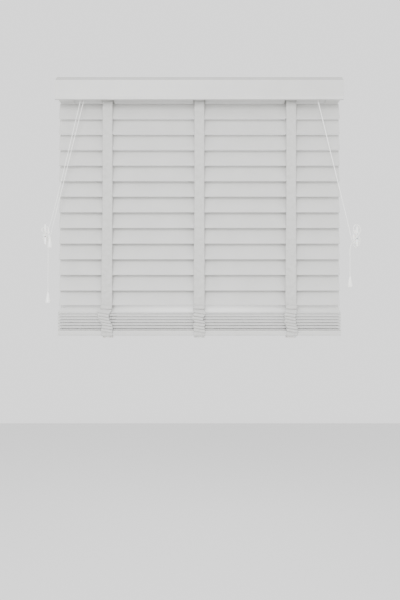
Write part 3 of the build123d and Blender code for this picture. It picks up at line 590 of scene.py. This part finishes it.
for number, (x, lane, lockLane) in enumerate(lanes):
    points = [
        (x, 0, cordEnd),
        (x, 0, liftCord["foot"]),
        (x, 0, liftCord["shoulder"]),
        (x, 0, laneHeight - turn / 2),
        (x, 0, laneHeight),
        (x + turn / 2, lane / 2, laneHeight),
        (x + turn, lane, laneHeight),
        (x + 2 * turn, lane, laneHeight),
        (liftCord["laneEnd"] - turn / 2, lane, laneHeight),
        (liftCord["laneEnd"], lane, laneHeight),
        (liftCord["laneEnd"] + turn, (lane + lockLane) / 2, (laneHeight + overPulley) / 2),
        (liftCord["down"] - 2 * turn, lockLane, overPulley),
        (liftCord["down"] - turn / 2, lockLane, overPulley),
        (liftCord["down"], lockLane, overPulley),
        (liftCord["down"], lockLane, overPulley - turn / 2),
        (liftCord["down"], lockLane, liftCord["throat"]),
    ]
    line = nurbsCurve("liftLine", points, liftCord["diameter"])
    bpy.context.scene.collection.objects.link(line)
    data = bakedMesh(line)
    bpy.data.objects.remove(line)
    liftPiece = addPiece(bpy.data.objects.new(f"lift_cord_{number + 1}", data), "cord")
    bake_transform(liftPiece)
    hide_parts("lift_cords")
print("lift cords led through")


tape = {
    "width": 28 * mm,
    "lowWidth": 31 * mm,        # the tape spreads a little where it starts to slacken
    "thickness": 0.8 * mm,
    "grid": (10, 230),          # faces across and along a hanging strip
    "pitch": 44 * mm,           # one rung for each slat
    "station": 0.8 * mm,        # bulge where a rung is woven in
    "stationReach": 1.6 * mm,
    "pucker": 2.7 * mm,
    "puckerMean": 0.45,         # the pucker in the middle of its range, and how far it swings about that
    "puckerSwing": 0.9,
    "puckerFrom": -0.30,        # heights at which the strip starts to pucker and puckers fully
    "puckerFull": -0.60,
    "edgeWaver": 0.05,          # share of the width
    "acrossRate": 1.6,          # how fast the noise changes: across the whole tape,
    "puckerRate": 105,          # and for each metre along it
    "waverRate": 90,
}


def ease(value, low, high):
    share = min(max((value - low) / (high - low), 0), 1)
    return share * share * (3 - 2 * share)


def tapeSheet(name, width, length, grid, place):
    # u runs across the tape from -0.5 to 0.5, v along it from 0 to 1; the UV map holds metres
    sheet = bmesh.new()
    threads = sheet.loops.layers.uv.new("threads")
    bmesh.ops.create_grid(sheet, x_segments=grid[0], y_segments=grid[1], size=0.5)
    for face in sheet.faces:
        for loop in face.loops:
            loop[threads].uv = (loop.vert.co.x * width, (0.5 - loop.vert.co.y) * length)
    for vert in sheet.verts:
        vert.co = place(vert.co.x, 0.5 - vert.co.y)
    bmesh.ops.recalc_face_normals(sheet, faces=sheet.faces)
    bmesh.ops.solidify(sheet, geom=sheet.faces[:], thickness=tape["thickness"])
    for face in sheet.faces:
        face.smooth = True
    return addPiece(meshObject(name, sheet), "tape")


def hangingPlace(middle, outward, plane, top, low, drift, seed):
    def place(u, v):
        z = top + (low - top) * v
        looseness = ease(-z, -tape["puckerFrom"], -tape["puckerFull"])
        width = tape["width"] + (tape["lowWidth"] - tape["width"]) * looseness
        width *= 1 + tape["edgeWaver"] * looseness * noise.noise((seed, z * tape["waverRate"], 0))
        spot = (u * tape["acrossRate"], z * tape["puckerRate"], seed)
        bulge = looseness * tape["pucker"] * (tape["puckerMean"] + tape["puckerSwing"] * noise.noise(spot))
        fromRung = (z - low) % tape["pitch"]
        fromRung = min(fromRung, tape["pitch"] - fromRung)
        bulge += tape["station"] * math.exp(-(fromRung / tape["stationReach"]) ** 2)
        return (middle + u * width + drift * looseness, plane + outward * max(bulge, 0), z)
    return place


# how far each strip has slid sideways where it is loose
drifts = {"left": -2.0 * mm, "middle": -0.5 * mm, "right": -1.0 * mm}
for body, outward in (("front_tapes", -1), ("rear_tapes", 1)):
    low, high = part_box(body)
    plane = (low.y + high.y) / 2
    for number, (side, middle) in enumerate(tapeMiddles.items()):
        length = high.z - low.z
        place = hangingPlace(middle, outward, plane, high.z, low.z, drifts[side], number + 5 * outward)
        strip = tapeSheet(f"{body}_{side}", tape["width"], length, tape["grid"], place)
        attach(strip, body)
        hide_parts(body)
print("hanging tapes made")

# the slack tape: from each hanging strip down to the pile, and round the pile and the bottom rail
slack = {
    "pileGap": 1.0 * mm,        # slat edge to the middle of the tape
    "depth": 6.4 * mm,
    "depthMean": 0.92,          # share of the depth that a fold has, and how far that swings from fold to fold
    "depthSwing": 0.3,
    "pileFolds": 6,
    "leanFolds": 2,
    "foldGrid": (12, 260),      # faces across and along
    "leanGrid": (12, 70),
    "bunchFrom": 20 * mm,       # height above the pile at which the folds start to slant
    "slideFrom": 18 * mm,       # and at which they start to lie beside each other
    "strapEase": 12 * mm,       # they are full down to this far above the strap under the rail
    "slant": -0.16,             # the folds run down to the right
    "rearSlant": -0.7,          # share of the front's slant and slide
    "rearSlide": -0.6,
    "wrinkle": 0.5 * mm,
    "widthWaver": 0.06,
    "depthWaver": 0.02,
    "acrossRate": 2.2,
    "waverRate": 60,
    "strapGap": 0.8 * mm,
    "lowestFold": 5 * mm,       # below the top of the bottom rail
    "holdDepth": 2 * mm,        # the tape starts to follow the bottom rail this far below the pile's top
    "railCorner": 3.0 * mm,
    "topGap": 3 * mm,           # the lean starts this far above the end of the strip
    "planeGap": 0.5 * mm,       # and this far outside it
    "edge": 0.8 * mm,           # the uppermost thread rows of the front tapes
    "rearFlare": 0.3,           # the rear tape clears the edge of the slat that leans on the pile
    "rearKeep": 0.5,            # share of its height that is left when the slats are turned right over
}
# (out, down) of one fold, which droops over the crease below it
foldShape = ((0.0, 0.0), (0.38, 0.1), (0.82, 0.24), (1.0, 0.48), (0.96, 0.72), (0.7, 0.88), (0.3, 0.91))
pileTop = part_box("slat_15")[1].z
railLow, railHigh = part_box("bottom_rail")
pileFace = railHigh.y + slack["pileGap"]
foldLow = railHigh.z - slack["lowestFold"]
strapZ = railLow.z - slack["strapGap"]


def foldKnots(side, top, low, folds, topFace, lowFace, seed, flare=1.0):
    # points (y, z) of the middle of the tape, side -1 in front of the pile and 1 behind it;
    # a flare under 1 takes it out to the lower face sooner
    pitch = (top - low) / folds
    knots = []
    for fold in range(folds):
        # steps of more than 1 in the noise, so that no fold is like its neighbour
        chance = noise.noise((fold * 3.7, seed * 1.9, 0.5))
        reach = slack["depth"] * (slack["depthMean"] + slack["depthSwing"] * chance)
        for out, down in foldShape:
            share = (fold + down) / folds
            face = topFace + (lowFace - topFace) * share ** flare
            knots.append((side * (face + out * reach), top - (fold + down) * pitch))
    knots.append((side * lowFace, low))
    return knots


def smoothLine(knots, steps):
    # Catmull-Rom through the knots, then points at even distances along it
    cuts = 8
    fine = []
    ends = [knots[0], *knots, knots[-1]]
    for a, b, c, d in zip(ends, ends[1:], ends[2:], ends[3:]):
        for step in range(cuts):
            t = step / cuts
            fine.append(tuple(
                0.5 * (2 * q + (r - p) * t + (2 * p - 5 * q + 4 * r - s) * t * t
                       + (3 * q - p - 3 * r + s) * t ** 3)
                for p, q, r, s in zip(a, b, c, d)))
    fine.append(knots[-1])
    reach = [0.0]
    for a, b in zip(fine, fine[1:]):
        reach.append(reach[-1] + math.dist(a, b))
    even = []
    spot = 0
    for step in range(steps + 1):
        target = reach[-1] * step / steps
        while spot < len(reach) - 2 and reach[spot + 1] < target:
            spot += 1
        span = max(reach[spot + 1] - reach[spot], 1e-9)
        share = min((target - reach[spot]) / span, 1)
        even.append(tuple(p + (q - p) * share for p, q in zip(fine[spot], fine[spot + 1])))
    return even, reach[-1]


def foldedPlace(line, middle, shifts, seed):
    steps = len(line) - 1
    bunchTop = pileTop + slack["bunchFrom"]
    slideTop = pileTop + slack["slideFrom"]

    def place(u, v):
        y, z = line[round(v * steps)]
        inFront = y < 0
        across = u * tape["lowWidth"]
        depth = ease(bunchTop - z, 0, slack["bunchFrom"]) * ease(z - strapZ, 0, slack["strapEase"])
        # each fold lies a little to the left or right of the one above
        level = min(max((slideTop - z) / (slideTop - foldLow), 0), 0.999) * (len(shifts) - 1)
        above, below = shifts[int(level)], shifts[int(level) + 1]
        slide = above + (below - above) * ease(level - int(level), 0, 1)
        slide *= mm * (1 if inFront else slack["rearSlide"])
        wave = noise.noise((u * slack["acrossRate"], z * slack["waverRate"], seed)) * depth
        slant = slack["slant"] * across * depth * (1 if inFront else slack["rearSlant"])
        return (middle + across * (1 + slack["widthWaver"] * wave) + slide,
                y * (1 + slack["depthWaver"] * wave), z + slant + slack["wrinkle"] * wave)
    return place


# millimetres to the right, from the uppermost fold to the lowest
shiftsOfFolds = {
    "left": [-2, -3, -9, -10, -7, -2, 2, 1, 0],
    "middle": [-1, -2, 3, -4, -5, 2, -2, 0, 0],
    "right": [-1, -2, -4, -7, -5, -6, -2, 0, 0],
}
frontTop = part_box("front_tapes")[0].z + slack["topGap"]
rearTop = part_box("rear_tapes")[0].z + slack["topGap"]
# the front strips and the rear strips hang equally far out
leanFace = -boxCentre("front_tapes").y + slack["planeGap"]
corner = slack["railCorner"]
for number, (side, middle) in enumerate(tapeMiddles.items()):
    shifts = shiftsOfFolds[side]
    pile = foldKnots(-1, pileTop, foldLow, slack["pileFolds"], pileFace, pileFace, number)
    pile += [
        (-pileFace, railLow.z + corner),
        (-pileFace + 0.3 * corner, railLow.z + 0.3 * corner),
        (railLow.y + 1.2 * corner, strapZ),
        (0, strapZ),
        (railHigh.y - 1.2 * corner, strapZ),
        (pileFace - 0.3 * corner, railLow.z + 0.3 * corner),
        (pileFace, railLow.z + corner),
    ]
    pile += foldKnots(1, pileTop, foldLow, slack["pileFolds"], pileFace, pileFace, number + 7)[::-1]
    line, length = smoothLine(pile, slack["foldGrid"][1])
    sheet = tapeSheet(f"tape_slack_{side}", tape["lowWidth"], length, slack["foldGrid"],
                      foldedPlace(line, middle, shifts, number))
    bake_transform(sheet)
    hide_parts("tape_folds_" + side)

    # between the hanging strips and the pile, where the tape leans out to the slats that lie level
    front = foldKnots(-1, frontTop, pileTop, slack["leanFolds"], leanFace, pileFace, number + 3)
    rear = foldKnots(1, rearTop, pileTop, slack["leanFolds"], leanFace, pileFace, number + 9,
                     flare=slack["rearFlare"])
    for name, knots in (("front", front), ("rear", rear)):
        line, length = smoothLine(knots, slack["leanGrid"][1])
        lean = tapeSheet(f"tape_lean_{name}_{side}", tape["lowWidth"], length, slack["leanGrid"],
                         foldedPlace(line, middle, shifts, number))
        if name == "front":
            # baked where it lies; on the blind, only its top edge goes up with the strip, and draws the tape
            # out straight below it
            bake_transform(lean)
        else:
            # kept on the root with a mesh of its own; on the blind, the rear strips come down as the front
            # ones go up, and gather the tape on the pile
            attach(lean, "root")
            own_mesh(lean)
        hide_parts("tape_folds_" + side)
print("slack tapes folded")

# two thin rungs under each slat at each tape
rung = {"width": 2.2 * mm, "length": 50.7 * mm, "thickness": 0.24 * mm, "under": 1.72 * mm, "apart": 16 * mm}
# degrees from level: 13 slats hang, one leans on the pile, and the others lie level
slatAngles = [68] * 13 + [25] + [0] * 11
for number, slatAngle in enumerate(slatAngles, start=1):
    slat = f"slat_{number:02d}"
    tilted = Matrix.Rotation(math.radians(slatAngle), 4, "X")
    centre = boxCentre(slat)
    rungs = bmesh.new()
    threads = rungs.loops.layers.uv.new("threads")
    for middle in tapeMiddles.values():
        for aside in (-rung["apart"] / 2, rung["apart"] / 2):
            place = (Matrix.Translation((middle + aside, centre.y, centre.z)) @ tilted
                     @ Matrix.Translation((0, 0, -rung["under"]))
                     @ Matrix.Diagonal((rung["width"], rung["length"], 1, 1)))
            bmesh.ops.create_grid(rungs, x_segments=2, y_segments=6, size=0.5, matrix=place)
    for face in rungs.faces:
        for loop in face.loops:
            loop[threads].uv = (loop.vert.co.x, loop.vert.co.y)
    bmesh.ops.solidify(rungs, geom=rungs.faces[:], thickness=rung["thickness"])
    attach(addPiece(meshObject("rungs_" + slat, rungs), "tape"), slat)
print("rungs laid")
